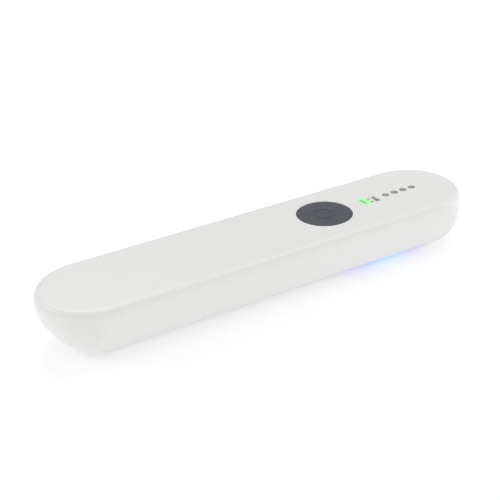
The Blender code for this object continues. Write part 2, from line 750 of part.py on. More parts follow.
def make_indicators():
    for number, x in enumerate(BAR_XS, start=1):
        add_indicator(f"status_led_{number}", x)
    for number, x in enumerate(dot_xs(), start=1):
        add_indicator(f"indicator_led_{number}", x)


# ---------------------------------------------------------------- socket

def make_socket():
    outer = slot((0, 0), SOCKET_WIDTH, SOCKET_HEIGHT, 8)
    inner = slot((0, 0), SOCKET_WIDTH - 2 * SOCKET_WALL, SOCKET_HEIGHT - 2 * SOCKET_WALL, 8)
    shell = add_plate("socket_shell", [outer, inner], SOCKET_MOUTH_X - SOCKET_DEPTH, SOCKET_MOUTH_X, "steel")
    shell.matrix_world = face_along_x(SOCKET_Z) @ shell.matrix_world
    smooth(shell)
    back = SOCKET_MOUTH_X - SOCKET_DEPTH
    clear = SOCKET_WALL + GAP
    block = [slot((0, 0), SOCKET_WIDTH - 2 * clear, SOCKET_HEIGHT - 2 * clear, 8)]
    insulator = add_plate("socket_tongue", block, back + 0.2, back + 1.9, "chip_black")
    insulator.matrix_world = face_along_x(SOCKET_Z) @ insulator.matrix_world
    blade = [rectangle((0, 0), *TONGUE_SIZE)]
    tongue = add_plate("tongue_blade", blade, back + 1.0, SOCKET_MOUTH_X - 1.0, "chip_black")
    tongue.matrix_world = face_along_x(SOCKET_Z) @ tongue.matrix_world
    join(insulator, tongue)


# ---------------------------------------------------------------- battery

def make_battery():
    length, width, height = BATTERY_SIZE
    tail = BATTERY_X - length / 2
    head = BATTERY_X + length / 2
    top = BATTERY_Z + height
    add_box("battery_cell", (tail, -width / 2, BATTERY_Z), (head, width / 2, top), "battery_foil", 1.5)
    low = (head + 0.4, -10.0, BATTERY_Z + 3.0)
    add_box("battery_protection_board", low, (head + 3.4, 10.0, BATTERY_Z + 4.0), "board_green")
    foam_tail = tail + 4.0
    foam_head = head - 4.0
    low = (foam_tail, -9.0, FLOOR_Z + GAP)
    add_box("battery_foam_lower", low, (foam_head, 9.0, BATTERY_Z - GAP), "foam")
    low = (foam_tail, -11.0, top + GAP)
    add_box("battery_foam_upper", low, (foam_head, 11.0, CEILING_Z - GAP), "foam")


def make_wires():
    start = BATTERY_X + BATTERY_SIZE[0] / 2 + 3.8
    level = BATTERY_Z + 3.5
    for name, y in (("battery_wire_red", 3.0), ("battery_wire_black", -3.0)):
        route = [
            (start, y * 2.2, level),
            (start + 3.5, y * 2.3, level - 0.8),
            (start + 8.0, y * 1.9, level - 0.6),
            (start + 12.0, y * 1.3, level + 1.2),
            (14.5, y, BOARD_Z - 1.9),
        ]
        add_wire(name, route, 1.3, name.replace("battery_", ""))
    for name, y in (("led_wire_red", 7.6), ("led_wire_black", -7.6)):
        side = math.copysign(1.0, y)
        tail = WINDOW_X - WINDOW_LENGTH / 2 - 3.4
        route = [
            (tail, y, LED_BOARD_Z + 0.8),
            (tail - 1.6, y + 0.4 * side, LED_BOARD_Z + 1.3),
            (tail - 2.9, y + 0.6 * side, LED_BOARD_Z + 3.2),
            (tail - 3.0, y + 0.4 * side, BOARD_Z - 0.4),
        ]
        add_wire(name, route, 1.1, name.replace("led_", ""))


clear_scene()
PARTS = make_collection("curing_light")
CUTTERS = make_collection("cutters")

make_top_cover()
make_lower_tub()
make_feet()
make_case_screws()
make_window()
make_reflector()
make_led_module()
make_control_board()
make_switch()
make_button()
make_light_guides()
make_indicators()
make_socket()
make_battery()
make_wires()
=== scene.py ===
import json
import math

import bmesh
import bpy
from mathutils import Matrix, Vector


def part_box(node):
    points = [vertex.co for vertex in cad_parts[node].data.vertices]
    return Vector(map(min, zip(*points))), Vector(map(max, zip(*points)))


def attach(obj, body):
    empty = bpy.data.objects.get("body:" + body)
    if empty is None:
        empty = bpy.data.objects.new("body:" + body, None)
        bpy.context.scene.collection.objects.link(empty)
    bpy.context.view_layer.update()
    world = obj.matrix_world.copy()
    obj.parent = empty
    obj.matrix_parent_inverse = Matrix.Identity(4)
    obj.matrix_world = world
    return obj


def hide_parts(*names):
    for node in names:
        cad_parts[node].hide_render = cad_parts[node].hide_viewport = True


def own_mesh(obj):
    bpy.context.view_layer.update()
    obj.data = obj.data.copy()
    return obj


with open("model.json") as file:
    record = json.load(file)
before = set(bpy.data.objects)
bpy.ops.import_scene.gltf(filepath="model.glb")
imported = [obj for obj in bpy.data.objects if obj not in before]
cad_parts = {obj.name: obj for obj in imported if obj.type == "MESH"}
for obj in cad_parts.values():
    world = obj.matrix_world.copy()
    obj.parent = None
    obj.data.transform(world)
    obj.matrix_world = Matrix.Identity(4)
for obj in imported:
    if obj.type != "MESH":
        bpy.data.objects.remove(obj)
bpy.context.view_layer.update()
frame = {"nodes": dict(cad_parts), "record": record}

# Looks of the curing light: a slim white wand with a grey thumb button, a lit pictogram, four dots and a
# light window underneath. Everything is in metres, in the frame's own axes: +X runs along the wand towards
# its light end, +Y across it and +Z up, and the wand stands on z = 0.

MM = 0.001

# ---------------------------------------------------------------- sizes

COVER_LOW, COVER_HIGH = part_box("top_cover")
TUB_LOW, TUB_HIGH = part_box("lower_tub")
LENGTH = COVER_HIGH.x - COVER_LOW.x
WIDTH = COVER_HIGH.y - COVER_LOW.y
TOP_Z = COVER_HIGH.z
UNDER_Z = TUB_LOW.z

WALL = 2.0 * MM
TOP_FILLET = 3.0 * MM
RIM_BAND = 0.4 * MM  # upright stretch of each shell at the seam
SIDE_RUN = 12.0 * MM  # how far the side comes in between the seam and the floor
END_RUN = 20.9 * MM
END_BLUNTNESS = 0.62
COVER_FOOT_Z = TOP_Z - TOP_FILLET - RIM_BAND
SEAM = 0.03 * MM  # what shows of the seam between the shells
SHOULDER_Z = TUB_HIGH.z - RIM_BAND
EDGE = 0.12 * MM  # broken edge round every opening
SEAM_EDGE = 0.35  # share of it along the seam
OVERCUT = 1.0 * MM  # how far a cutter reaches past what it cuts
BITE = 0.4 * MM  # how far a joined part reaches into its neighbour

OUTLINE_STEPS = 72  # in each half-round end
FILLET_STEPS = 12
SIDE_STEPS = 40


# ---------------------------------------------------------------- mesh helpers

def place(obj, body="body"):
    """Links a finished piece and lets it ride on a CAD body."""
    if not obj.users_collection:
        bpy.context.scene.collection.objects.link(obj)
    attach(obj, body)
    return obj


def linked(name, mesh):
    obj = bpy.data.objects.new(name, mesh)
    bpy.context.scene.collection.objects.link(obj)
    return obj


def mesh_from(bm, name):
    mesh = bpy.data.meshes.new(name)
    bmesh.ops.recalc_face_normals(bm, faces=bm.faces)
    bm.to_mesh(mesh)
    bm.free()
    return mesh


def bake_modifiers(obj):
    """Replaces the piece's mesh by what its modifiers make of it."""
    graph = bpy.context.evaluated_depsgraph_get()
    graph.update()
    old = obj.data
    obj.data = bpy.data.meshes.new_from_object(obj.evaluated_get(graph))
    obj.modifiers.clear()
    bpy.data.meshes.remove(old)
    return obj


def carve(obj, joins=(), cuts=()):
    """Joins and cuts with other objects, which are used up."""
    for operation, tools in (("UNION", joins), ("DIFFERENCE", cuts)):
        for tool in tools:
            modifier = obj.modifiers.new(tool.name, "BOOLEAN")
            modifier.operation = operation
            modifier.object = tool
            modifier.solver = "EXACT"
    bake_modifiers(obj)
    for tool in (*joins, *cuts):
        bpy.data.objects.remove(tool)
    return obj


def break_edges(obj, width, segments=2, sharp=35.0, light_levels=(), light_share=0.4):
    """Rounds every sharp edge by a small bevel, less at the given levels, and shades the piece smooth."""
    bm = bmesh.new()
    bm.from_mesh(obj.data)
    bmesh.ops.remove_doubles(bm, verts=bm.verts, dist=0.002 * MM)
    bmesh.ops.dissolve_degenerate(bm, edges=bm.edges, dist=0.001 * MM)
    weight = bm.edges.layers.float.new("bevel_weight_edge")
    limit = math.radians(sharp)
    for edge in bm.edges:
        if len(edge.link_faces) != 2 or edge.calc_face_angle(0.0) < limit:
            continue
        light = any(all(abs(v.co.z - z) < 0.01 * MM for v in edge.verts) for z in light_levels)
        edge[weight] = light_share if light else 1.0
    bm.to_mesh(obj.data)
    bm.free()
    bevel = obj.modifiers.new("broken edges", "BEVEL")
    bevel.width = width
    bevel.segments = segments
    bevel.limit_method = "WEIGHT"
    bevel.harden_normals = False
    bevel.miter_outer = "MITER_ARC"
    return shade(bake_modifiers(obj))


def shade(obj):
    """Smooth shading that keeps flat faces flat."""
    obj.data.shade_smooth()
    obj.data.set_sharp_from_angle(angle=math.radians(50.0))
    normals = obj.modifiers.new("flat faces stay flat", "WEIGHTED_NORMAL")
    normals.keep_sharp = True
    normals.weight = 80
    return bake_modifiers(obj)


def boxes(name, *corners):
    """A mesh of boxes, each between two corners."""
    bm = bmesh.new()
    for low, high in corners:
        low = Vector(low)
        high = Vector(high)
        matrix = Matrix.Translation((low + high) / 2) @ Matrix.Diagonal((*(high - low), 1.0))
        bmesh.ops.create_cube(bm, size=1.0, matrix=matrix)
    return linked(name, mesh_from(bm, name))


def posts(name, centres, radius, z_low, z_high, segments=96):
    """A mesh of upright cylinders."""
    bm = bmesh.new()
    for x, y in centres:
        middle = Matrix.Translation((x, y, (z_low + z_high) / 2))
        bmesh.ops.create_cone(
            bm, cap_ends=True, segments=segments, radius1=radius, radius2=radius,
            depth=z_high - z_low, matrix=middle,
        )
    return linked(name, mesh_from(bm, name))


def prism(name, outlines, low, high, axis="Z"):
    """Closed outlines of (u, v) points drawn out along an axis: Z, or X for what faces the light end."""
    bm = bmesh.new()
    for points in outlines:
        rings = []
        for level in (low, high):
            where = [(u, v, level) if axis == "Z" else (level, u, v) for u, v in points]
            rings.append([bm.verts.new(at) for at in where])
        for index in range(len(points)):
            following = (index + 1) % len(points)
            bm.faces.new((rings[0][index], rings[0][following], rings[1][following], rings[1][index]))
        bm.faces.new(rings[0])
        bm.faces.new(rings[1])
    return linked(name, mesh_from(bm, name))


def turned(name, profile, centre, steps=128):
    """Spins (radius, height) points, listed down the outer side, about an upright axis."""
    bm = bmesh.new()
    rings = []
    for radius, height in profile:
        if radius == 0.0:
            rings.append([bm.verts.new((0.0, 0.0, height))])
            continue
        angles = [math.tau * step / steps for step in range(steps)]
        rings.append([bm.verts.new((radius * math.cos(a), radius * math.sin(a), height)) for a in angles])
    for upper, lower in zip(rings, rings[1:]):
        for index in range(steps):
            following = (index + 1) % steps
            corners = [
                upper[index % len(upper)], lower[index % len(lower)],
                lower[following % len(lower)], upper[following % len(upper)],
            ]
            bm.faces.new(list(dict.fromkeys(corners)))
    bmesh.ops.translate(bm, verts=bm.verts, vec=Vector((centre[0], centre[1], 0.0)))
    return linked(name, mesh_from(bm, name))


def arc(centre, radius, start, end, steps):
    """Points of an arc, angles in degrees."""
    return [
        (centre[0] + radius * math.cos(math.radians(start + (end - start) * step / steps)),
         centre[1] + radius * math.sin(math.radians(start + (end - start) * step / steps)))
        for step in range(steps + 1)
    ]


def stadium(centre, length, width, steps=24):
    half = (length - width) / 2
    right = arc((centre[0] + half, centre[1]), width / 2, -90.0, 90.0, steps)
    left = arc((centre[0] - half, centre[1]), width / 2, 90.0, 270.0, steps)
    return right + left


def rounded_rectangle(centre, length, width, corner, steps=6):
    points = []
    for quarter, (sx, sy) in enumerate(((1, 1), (-1, 1), (-1, -1), (1, -1))):
        middle = (centre[0] + sx * (length / 2 - corner), centre[1] + sy * (width / 2 - corner))
        points += arc(middle, corner, 90.0 * quarter, 90.0 * (quarter + 1), steps)
    return points


def box_of(node):
    """Middle, size, and lowest and highest corner of a CAD node."""
    low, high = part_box(node)
    return (low + high) / 2, high - low, low, high


# ---------------------------------------------------------------- housing

def wand_outline(half_length, half_width, end):
    points = []
    for sign in (1, -1):
        for step in range(OUTLINE_STEPS + 1):
            angle = -math.pi / 2 + math.pi * step / OUTLINE_STEPS
            points.append(
                (sign * (half_length - end + end * math.cos(angle)), sign * half_width * math.sin(angle))
            )
    return points


def inset_outline(inset):
    return wand_outline(LENGTH / 2 - inset, WIDTH / 2 - inset, WIDTH / 2 - inset)


def cover_rings():
    rings = [(inset_outline(0.0), COVER_FOOT_Z)]
    for step in range(FILLET_STEPS + 1):
        angle = math.pi / 2 * step / FILLET_STEPS
        inset = TOP_FILLET * (1 - math.cos(angle))
        rings.append((inset_outline(inset), TOP_Z - TOP_FILLET * (1 - math.sin(angle))))
    return rings


def tub_rings():
    rings = [(inset_outline(0.0), COVER_FOOT_Z - SEAM)]
    drop = SHOULDER_Z - UNDER_Z
    for step in range(SIDE_STEPS + 1):
        angle = math.pi / 2 * step / SIDE_STEPS
        z = SHOULDER_Z - drop * math.sin(angle)
        half_width = WIDTH / 2 - SIDE_RUN * (1 - math.cos(angle))
        end = half_width * (1 - END_BLUNTNESS * math.sin(angle))
        rings.append((wand_outline(LENGTH / 2 - END_RUN * (1 - math.cos(angle)), half_width, end), z))
    return rings


def loft(name, rings):
    """A skin through (outline, level) rings, closed by its last one and thickened inwards by the wall."""
    bm = bmesh.new()
    rows = [[bm.verts.new((x, y, z)) for x, y in outline] for outline, z in rings]
    for first, second in zip(rows, rows[1:]):
        for index in range(len(first)):
            following = (index + 1) % len(first)
            bm.faces.new((first[index], first[following], second[following], second[index]))
    bm.faces.new(rows[-1])
    mesh = mesh_from(bm, name)
    if (mesh.polygons[-1].normal.z > 0) != (rings[-1][1] > rings[0][1]):
        mesh.flip_normals()
    obj = linked(name, mesh)
    wall = obj.modifiers.new("wall", "SOLIDIFY")
    wall.thickness = WALL
    wall.offset = -1.0
    wall.use_even_offset = True
    return bake_modifiers(obj)


CASE_SCREWS = [box_of(f"case_screw_{number}") for number in (1, 2, 3, 4)]
BOARD_SCREWS = [box_of(f"board_screw_{number}") for number in (1, 2, 3, 4)]
MODULE_SCREWS = [box_of(f"led_module_screw_{number}") for number in (1, 2, 3, 4)]
CEILING_Z = TOP_Z - WALL
SIDE_GAP = 0.2 * MM  # between the button and its hole


def centres_of(screws):
    return [(middle.x, middle.y) for middle, *_ in screws]


def dot_centres():
    """The four dots stand evenly along their light guide's bar, half a bar's width in from its ends."""
    middle, size, low, high = box_of("dot_light_guide")
    first = low.x + size.y / 2
    last = high.x - size.y / 2
    return [(first + (last - first) * index / 3, middle.y) for index in range(4)]


DOT_RADIUS = 1.6 * MM
BARS = [box_of(f"bar_light_guide_{name}")[0] for name in ("lit", "middle", "dark")]
BAR_WIDTH = 1.5 * MM
LIT_BAR = (-2.4 * MM, 2.2 * MM)  # where the pictogram's bars and marks start and end across the wand
MARKS = ((-2.85 * MM, -1.35 * MM), (-0.15 * MM, 1.35 * MM))
DARK_BAR = (-3.1 * MM, 1.9 * MM)
DARK_FOOT = -0.6 * MM
BUTTON_MIDDLE, BUTTON_SIZE, BUTTON_LOW, BUTTON_HIGH = box_of("button_cap")
BUTTON_RADIUS = BUTTON_SIZE.x / 2 - 1.1 * MM


def bar_outlines(spare=0.0):
    """Faces of the pictogram's guides: a long bar, two short marks, and a bar with a broad foot."""
    corner = 0.3 * MM + spare
    outlines = {"lit": [], "middle": [], "dark": []}
    for name, middle, spans in (("lit", BARS[0], (LIT_BAR,)), ("middle", BARS[1], MARKS)):
        for low, high in spans:
            centre = (middle.x, (low + high) / 2)
            outlines[name].append(
                rounded_rectangle(centre, BAR_WIDTH + 2 * spare, high - low + 2 * spare, corner)
            )
    x = BARS[2].x
    half = BAR_WIDTH / 2 + spare
    foot = half + 0.3 * MM
    low, high = DARK_BAR
    foot_end = (x, low - spare + corner)
    bar_end = (x, high + spare - corner)
    outlines["dark"].append(
        arc((x - foot + corner, foot_end[1]), corner, 180.0, 270.0, 5)
        + arc((x + foot - corner, foot_end[1]), corner, 270.0, 360.0, 5)
        + arc((x + foot - corner, DARK_FOOT + spare - corner), corner, 0.0, 90.0, 5)
        + [(x + half, DARK_FOOT + spare)]
        + arc((x + half - corner, bar_end[1]), corner, 0.0, 90.0, 5)
        + arc((x - half + corner, bar_end[1]), corner, 90.0, 180.0, 5)
        + [(x - half, DARK_FOOT + spare)]
        + arc((x - foot + corner, DARK_FOOT + spare - corner), corner, 90.0, 180.0, 5)
    )
    return outlines


LIP_OUTSIDE, LIP_INSIDE = 2.55 * MM, 3.55 * MM  # the cover's locating lip, from the wand's outline
LIP_DROP = 1.4 * MM
BOSS_RADIUS = 2.8 * MM
STANDOFF_RADIUS = 2.3 * MM
CASE_PILOT, BOARD_PILOT = 1.3 * MM, 1.1 * MM  # radii of the holes that the screws cut their thread in
LIGHT_GAP = 0.1 * MM  # round each light guide's face


def make_cover():
    cover = loft("cover_shell", cover_rings())
    lip_foot = COVER_FOOT_Z - LIP_DROP
    lip = prism("lip", [inset_outline(LIP_OUTSIDE)], lip_foot, CEILING_Z + BITE)
    hollow = prism("lip_hollow", [inset_outline(LIP_INSIDE)], lip_foot - OVERCUT, CEILING_Z + OVERCUT)
    carve(lip, cuts=[hollow])
    standing = CEILING_Z + 0.5 * MM
    case = centres_of(CASE_SCREWS)
    board = centres_of(BOARD_SCREWS)
    standoff_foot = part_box("control_board")[1].z + 0.3 * MM
    joins = [
        lip,
        posts("bosses", case, BOSS_RADIUS, COVER_LOW.z, standing, 48),
        posts("standoffs", board, STANDOFF_RADIUS, standoff_foot, standing, 40),
    ]
    over = TOP_Z + OVERCUT
    under = CEILING_Z - OVERCUT
    button = [(BUTTON_MIDDLE.x, BUTTON_MIDDLE.y)]
    slots = [outline for outlines in bar_outlines(LIGHT_GAP).values() for outline in outlines]
    cuts = [
        posts("case_pilots", case, CASE_PILOT, 0.0, CASE_SCREWS[0][3].z + 1.5 * MM, 24),
        posts("board_pilots", board, BOARD_PILOT, 0.0, CEILING_Z - 0.4 * MM, 24),
        posts("button_hole", button, BUTTON_RADIUS + SIDE_GAP, under, over, 160),
        posts("dot_holes", dot_centres(), DOT_RADIUS + LIGHT_GAP, under, over, 48),
        prism("bar_slots", slots, under, over),
    ]
    carve(cover, joins, cuts)
    return break_edges(cover, EDGE, light_levels=(COVER_FOOT_Z,), light_share=SEAM_EDGE)


LENS_MIDDLE, LENS_SIZE, LENS_LOW, LENS_HIGH = box_of("window_lens")
LENS_FLANGE = 2.0 * MM
WINDOW_LENGTH = LENS_SIZE.x - 2 * LENS_FLANGE
WINDOW_WIDTH = LENS_SIZE.y - 2 * LENS_FLANGE
FEET = [box_of(name) for name in ("foot_strip_tail", "foot_strip_head")]
FOOT_CORNER = 1.0 * MM
SOCKET_MIDDLE, SOCKET_SIZE, SOCKET_LOW, SOCKET_HIGH = box_of("socket_shell")


PLAY = 0.3 * MM  # between the tub and what sits in it, on each side
PAD_RADIUS, PAD_RISE = 4.0 * MM, 1.2 * MM  # thick places that the case screws pull on
MODULE_POST_RADIUS = 2.0 * MM
SCREW_FLOOR = 1.5 * MM  # depth of the screw heads' holes over the foot strips
HEAD_HOLE, SHANK_HOLE, MODULE_PILOT = 2.4 * MM, 1.4 * MM, 1.0 * MM
REBATE = 1.0 * MM  # the window's flange lies this far over the tub's underside


def make_tub():
    tub = loft("tub_shell", tub_rings())
    case = centres_of(CASE_SCREWS)
    module = centres_of(MODULE_SCREWS)
    foot_top = FEET[0][3].z + PLAY
    screw_floor = foot_top + SCREW_FLOOR
    post_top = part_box("heat_sink")[0].z - PLAY
    joins = [
        posts("screw_pads", case, PAD_RADIUS, screw_floor - PAD_RISE, screw_floor + PAD_RISE, 48),
        posts("module_posts", module, MODULE_POST_RADIUS, UNDER_Z + WALL - PLAY, post_top, 40),
    ]
    window = (LENS_MIDDLE.x, LENS_MIDDLE.y)
    rebate = [stadium(window, LENS_SIZE.x + 2 * PLAY, LENS_SIZE.y + 2 * PLAY, 40)]
    opening = [stadium(window, WINDOW_LENGTH, WINDOW_WIDTH, 40)]
    feet = [
        rounded_rectangle(middle.xy, size.x + 2 * PLAY, size.y + 2 * PLAY, FOOT_CORNER + PLAY)
        for middle, size, *_ in FEET
    ]
    mouth = [stadium((0.0, SOCKET_MIDDLE.z), SOCKET_SIZE.y + 2 * PLAY, SOCKET_SIZE.z + 2 * PLAY)]
    cuts = [
        prism("window_rebate", rebate, UNDER_Z + REBATE, UNDER_Z + WALL + 2 * MM),
        prism("window_opening", opening, -OVERCUT, UNDER_Z + WALL),
        prism("foot_recesses", feet, -OVERCUT, foot_top),
        posts("screw_heads", case, HEAD_HOLE, 0.0, screw_floor, 40),
        posts("screw_holes", case, SHANK_HOLE, MM, screw_floor + 3 * MM, 24),
        posts("module_pilots", module, MODULE_PILOT, post_top - 6 * MM, post_top + OVERCUT, 24),
        prism("socket_mouth", mouth, SOCKET_HIGH.x - 6 * MM, SOCKET_HIGH.x + 6 * MM, axis="X"),
    ]
    carve(tub, joins, cuts)
    return break_edges(tub, EDGE, light_levels=(COVER_FOOT_Z - SEAM,), light_share=SEAM_EDGE)


# ---------------------------------------------------------------- button, lights and other small pieces

SYMBOL_RADIUS = 4.4 * MM
SYMBOL_LINE = 0.75 * MM
SYMBOL_DEPTH = 0.18 * MM


def symbol_outlines(grow=0.0):
    """A generic on-off symbol: a ring that is open towards the light end, and a short bar there."""
    x, y = BUTTON_MIDDLE.x, BUTTON_MIDDLE.y
    half = SYMBOL_LINE / 2 + grow
    outer = arc((x, y), SYMBOL_RADIUS + half, 38.0, 322.0, 72)
    inner = arc((x, y), SYMBOL_RADIUS - half, 322.0, 38.0, 72)
    bar_middle = (x + SYMBOL_RADIUS * 0.72, y)
    bar_length = SYMBOL_RADIUS * 1.05 + 2 * grow
    bar = rounded_rectangle(bar_middle, bar_length, SYMBOL_LINE + 2 * grow, SYMBOL_LINE * 0.45)
    return [outer + inner, bar]


DISH = 0.22 * MM  # how far the middle of the button's face lies under its rim
DISH_STEPS = 10
BUTTON_RIM = 0.45 * MM
BUTTON_FLANGE = 0.7 * MM  # height of the flange that keeps the button in
BUTTON_FACE = 1.3 * MM
BUTTON_STEM = 2.2 * MM
SYMBOL_FLOOR = BUTTON_HIGH.z - 0.2 * MM - SYMBOL_DEPTH


def button_top(radius):
    """Height of the slightly dished button face."""
    return BUTTON_HIGH.z - DISH * (1 - (radius / BUTTON_RADIUS) ** 2)


def make_button():
    foot = BUTTON_LOW.z
    ceiling = BUTTON_HIGH.z - BUTTON_FACE
    inside = BUTTON_RADIUS - 1.2 * MM
    flat = BUTTON_RADIUS - BUTTON_RIM
    radii = [flat * step / DISH_STEPS for step in range(DISH_STEPS + 1)]
    profile = [(radius, button_top(radius)) for radius in radii]
    profile += arc((flat, BUTTON_HIGH.z - BUTTON_RIM), BUTTON_RIM, 84.0, 0.0, 6)
    profile += [
        (BUTTON_RADIUS, foot + BUTTON_FLANGE),
        (BUTTON_SIZE.x / 2, foot + BUTTON_FLANGE),
        (BUTTON_SIZE.x / 2, foot),
        (inside, foot),
        (inside, ceiling),
        (BUTTON_STEM, ceiling),
        (BUTTON_STEM, foot),
        (0.0, foot),
    ]
    button = turned("button_dish", profile, BUTTON_MIDDLE.xy)
    carve(button, cuts=[prism("symbol_groove", symbol_outlines(), SYMBOL_FLOOR, TOP_Z + OVERCUT)])
    return break_edges(button, 0.05 * MM, segments=1)


def make_symbol():
    """The paint that lies in the button's groove."""
    low = SYMBOL_FLOOR + 0.002 * MM
    symbol = prism("button_symbol", symbol_outlines(-0.02 * MM), low, low + 0.06 * MM)
    return shade(symbol)


def make_return_pad():
    """The silicone ring that lifts the button: a waist between two flat lips."""
    middle, size, low, high = box_of("button_return_pad")
    outer = size.x / 2
    inner = BUTTON_RADIUS - 0.8 * MM
    waist = 0.4 * MM
    lip = 0.28 * (high.z - low.z)
    profile = [
        (outer, high.z), (outer, high.z - lip), (outer - waist, high.z - 1.4 * lip),
        (outer - waist, low.z + 1.4 * lip), (outer, low.z + lip), (outer, low.z),
        (inner, low.z), (inner, low.z + lip), (inner + waist, low.z + 1.4 * lip),
        (inner + waist, high.z - 1.4 * lip), (inner, high.z - lip), (inner, high.z), (outer, high.z),
    ]
    return break_edges(turned("return_pad", profile, middle.xy), 0.04 * MM, segments=1)


def squash_return_pad(pad):
    """Gives the ring a mesh of its own."""
    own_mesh(pad)


SHOULDER_TOP = CEILING_Z - 0.3 * MM  # the light guides' shoulders end a little under the cover


def make_bar_light(name):
    """A light guide of the pictogram, with a shoulder that keeps it under the cover."""
    low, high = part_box(f"bar_light_guide_{name}")
    shoulder = boxes(f"{name}_light", (low, (high.x, high.y, SHOULDER_TOP)))
    face = prism(f"{name}_face", bar_outlines()[name], low.z + BITE, high.z)
    return break_edges(carve(shoulder, joins=[face]), 0.08 * MM)


def make_dot_lights():
    middle, size, low, high = box_of("dot_light_guide")
    bar = prism("dot_lights", [stadium(middle.xy, size.x, size.y)], low.z, SHOULDER_TOP)
    carve(bar, joins=[posts("dot_posts", dot_centres(), DOT_RADIUS, low.z + BITE, high.z, 48)])
    return break_edges(bar, 0.14 * MM)


def make_lens():
    """The window's pane: a flange inside the tub and a face that fills the opening."""
    centre = LENS_MIDDLE.xy
    flange_z = LENS_HIGH.z - 1.0 * MM
    gap = 0.5 * MM
    lens = prism("window_pane", [stadium(centre, LENS_SIZE.x, LENS_SIZE.y, 40)], flange_z, LENS_HIGH.z)
    face = stadium(centre, WINDOW_LENGTH - gap, WINDOW_WIDTH - gap, 40)
    carve(lens, joins=[prism("pane_face", [face], LENS_LOW.z, flange_z + 0.5 * MM)])
    return break_edges(lens, 0.3 * MM, segments=3)


GROOVE_PITCH = 1.2 * MM
GROOVE_HALF = 0.2 * MM
GROOVE_DEPTH = 0.25 * MM
GROOVE_INSET = 1.6 * MM  # from the strip's long ends


def make_foot(name, node):
    """A rubber strip with rounded edges and three grooves across its sole."""
    middle, size, low, high = box_of(node)
    foot = prism(name, [rounded_rectangle(middle.xy, size.x, size.y, FOOT_CORNER)], low.z, high.z)
    grooves = []
    for shift in (-GROOVE_PITCH, 0.0, GROOVE_PITCH):
        x = middle.x + shift
        grooves.append((
            (x - GROOVE_HALF, low.y + GROOVE_INSET, low.z - OVERCUT),
            (x + GROOVE_HALF, high.y - GROOVE_INSET, low.z + GROOVE_DEPTH),
        ))
    carve(foot, cuts=[boxes("grooves", *grooves)])
    return break_edges(foot, 0.16 * MM)


SOCKET_WALL = 0.35 * MM
CONTACT_PITCH = 0.5 * MM
CONTACT_HALF = Vector((0.0, 0.125 * MM, 0.03 * MM))
CONTACT_START, CONTACT_END = 4.2 * MM, 0.5 * MM  # from the tongue's mouth
TONGUE_HALF = 0.35 * MM


def make_socket_shell():
    centre = (SOCKET_MIDDLE.y, SOCKET_MIDDLE.z)
    outer = stadium(centre, SOCKET_SIZE.y, SOCKET_SIZE.z)
    inner = stadium(centre, SOCKET_SIZE.y - 2 * SOCKET_WALL, SOCKET_SIZE.z - 2 * SOCKET_WALL)
    shell = prism("socket_tube", [outer], SOCKET_LOW.x, SOCKET_HIGH.x, "X")
    carve(shell, cuts=[prism("socket_bore", [inner], SOCKET_LOW.x - OVERCUT, SOCKET_HIGH.x + OVERCUT, "X")])
    return break_edges(shell, 0.1 * MM)


def make_contacts():
    """Twelve gilt contacts on each face of the socket's tongue."""
    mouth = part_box("socket_tongue")[1].x
    strips = []
    for face in (-1, 1):
        for index in range(12):
            y = (index - 5.5) * CONTACT_PITCH
            z = SOCKET_MIDDLE.z + face * TONGUE_HALF
            strips.append((
                Vector((mouth - CONTACT_START, y, z)) - CONTACT_HALF,
                Vector((mouth - CONTACT_END, y, z)) + CONTACT_HALF,
            ))
    return shade(boxes("socket_contacts", *strips))


# ---------------------------------------------------------------- materials

class Nodes:
    """Shorthand for the nodes of a tree. An input goes by its name, or by i and its number."""

    def __init__(self, tree):
        self.tree = tree

    def put(self, socket, value):
        """Links another node's output to a socket, or sets the socket to a value."""
        if isinstance(value, bpy.types.NodeSocket):
            self.tree.links.new(value, socket)
        else:
            socket.default_value = value

    def node(self, kind, settings=None, **inputs):
        made = self.tree.nodes.new("ShaderNode" + kind)
        for key, value in (settings or {}).items():
            setattr(made, key, value)
        for key, value in inputs.items():
            numbered = key[0] == "i" and key[1:].isdigit()
            self.put(made.inputs[int(key[1:]) if numbered else key.replace("_", " ")], value)
        return made

    def math(self, operation, *values):
        inputs = {f"i{number}": value for number, value in enumerate(values)}
        return self.node("Math", {"operation": operation}, **inputs).outputs[0]

    def spread(self, value, low, high, to_low=0.0, to_high=1.0, smooth=False):
        """Maps low..high to to_low..to_high, and keeps within it."""
        kind = "SMOOTHSTEP" if smooth else "LINEAR"
        return self.node(
            "MapRange", {"interpolation_type": kind}, Value=value,
            From_Min=low, From_Max=high, To_Min=to_low, To_Max=to_high,
        ).outputs[0]


